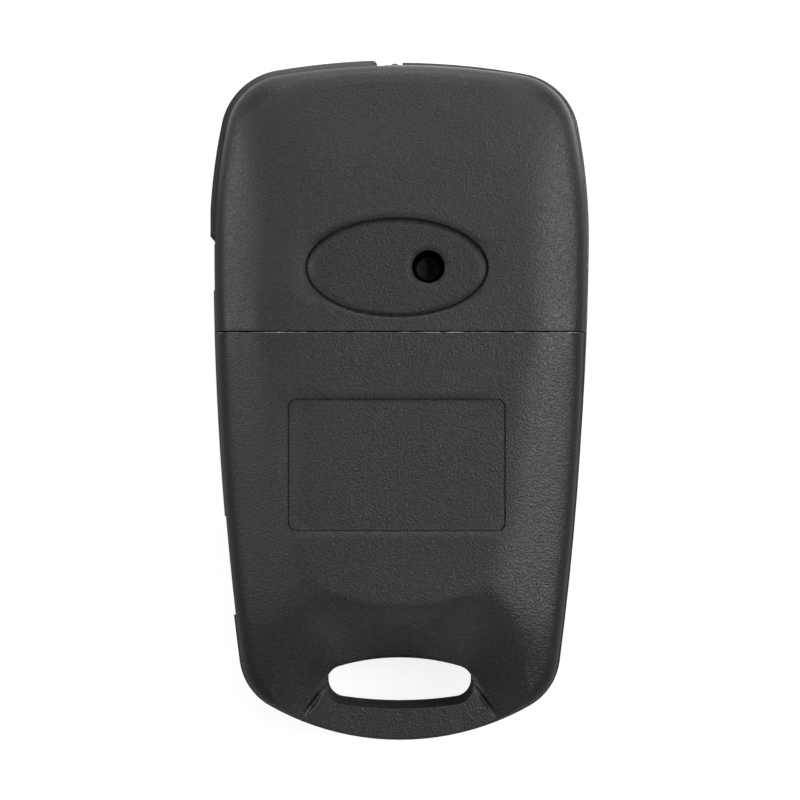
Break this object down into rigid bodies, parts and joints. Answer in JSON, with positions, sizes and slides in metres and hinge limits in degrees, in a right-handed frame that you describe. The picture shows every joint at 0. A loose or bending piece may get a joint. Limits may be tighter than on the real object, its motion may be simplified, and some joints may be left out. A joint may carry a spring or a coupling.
{
  "type": "flip remote key",
  "caption": "Folding car key fob: black grained casing with a flip-out steel blade, side release button, remote buttons, battery cover and keyring slot.",
  "frame": {"origin": "middle of the plan, on the plane of the front face that the key lies on", "axes": "+X across the casing, away from the folded blade; +Y along it, from the keyring slot towards the flip head; +Z out of the back face"},
  "size_m": [0.0389, 0.07, 0.0156],
  "materials": {
    "casing_plastic": "spark-eroded fine grain, moulded black",
    "head_plastic": "fine grain, moulded black",
    "chrome_trim": "plated, bright",
    "blade_steel": "nickel silver, lightly brushed",
    "pin_steel": "bright drawn steel",
    "spring_steel": "drawn wire",
    "screw_steel": "blackened steel",
    "plunger_plastic": "smooth acetal",
    "button_plastic": "satin black",
    "pad_silicone": "soft silicone",
    "board_laminate": "green solder mask on glass laminate",
    "switch_steel": "tinned steel cover",
    "switch_stem_plastic": "black nylon",
    "cell_steel": "nickel-plated can",
    "contact_steel": "nickel-plated spring sheet",
    "chip_resin": "moulded epoxy",
    "crystal_can": "bright can",
    "coil_ferrite": "grey ferrite with enamelled wire",
    "component_ceramic": "fired chip ceramic",
    "transponder_resin": "moulded epoxy wedge"
  },
  "bodies": {
    "casing": {"front_shell": "casing_plastic", "upper_back_cover": "casing_plastic", "chrome_trim_right": "chrome_trim", "chrome_trim_left": "chrome_trim", "casing_screw": "screw_steel", "circuit_board": "board_laminate", "button_membrane": "pad_silicone", "coin_cell": "cell_steel", "positive_contact": "contact_steel", "negative_contact": "contact_steel", "controller_chip": "chip_resin", "crystal": "crystal_can", "tuning_coil": "coil_ferrite", "chip_components": "component_ceramic", "transponder_chip": "transponder_resin", "lock_switch": "switch_steel", "unlock_switch": "switch_steel", "trunk_switch": "switch_steel"},
    "battery_cover": {"lower_back_cover": "casing_plastic"},
    "head": {"flip_head": "head_plastic", "key_blade": "blade_steel", "blade_roll_pin": "pin_steel", "torsion_spring": "spring_steel"},
    "release": {"release_plunger": "plunger_plastic", "release_cap": "chrome_trim"},
    "lock_key": {"lock_button": "button_plastic", "lock_switch_stem": "switch_stem_plastic"},
    "unlock_key": {"unlock_button": "button_plastic", "unlock_switch_stem": "switch_stem_plastic"},
    "trunk_key": {"trunk_button": "button_plastic", "trunk_switch_stem": "switch_stem_plastic"}
  },
  "joints": [
    {"name": "blade_flip", "type": "hinge", "parent": "casing", "child": "head", "pos_m": [-0.0094, 0.0245, 0.0086], "axis": [0, 0, -1], "range_deg": [0, 180]},
    {"name": "release_press", "type": "slide", "parent": "head", "child": "release", "axis": [0, 0, 1], "range_m": [0, 0.002], "stiffness_N_per_m": 500, "springref_m": -0.002, "deforming": ["torsion_spring"]},
    {"name": "cover_lift", "type": "slide", "parent": "casing", "child": "battery_cover", "axis": [0, 0, 1], "range_m": [0, 0.012]},
    {"name": "lock_press", "type": "slide", "parent": "casing", "child": "lock_key", "axis": [0, 0, 1], "range_m": [0, 0.00035], "stiffness_N_per_m": 2000, "springref_m": -0.0005},
    {"name": "unlock_press", "type": "slide", "parent": "casing", "child": "unlock_key", "axis": [0, 0, 1], "range_m": [0, 0.00035], "stiffness_N_per_m": 2000, "springref_m": -0.0005},
    {"name": "trunk_press", "type": "slide", "parent": "casing", "child": "trunk_key", "axis": [0, 0, 1], "range_m": [0, 0.00035], "stiffness_N_per_m": 2000, "springref_m": -0.0005}
  ]
}
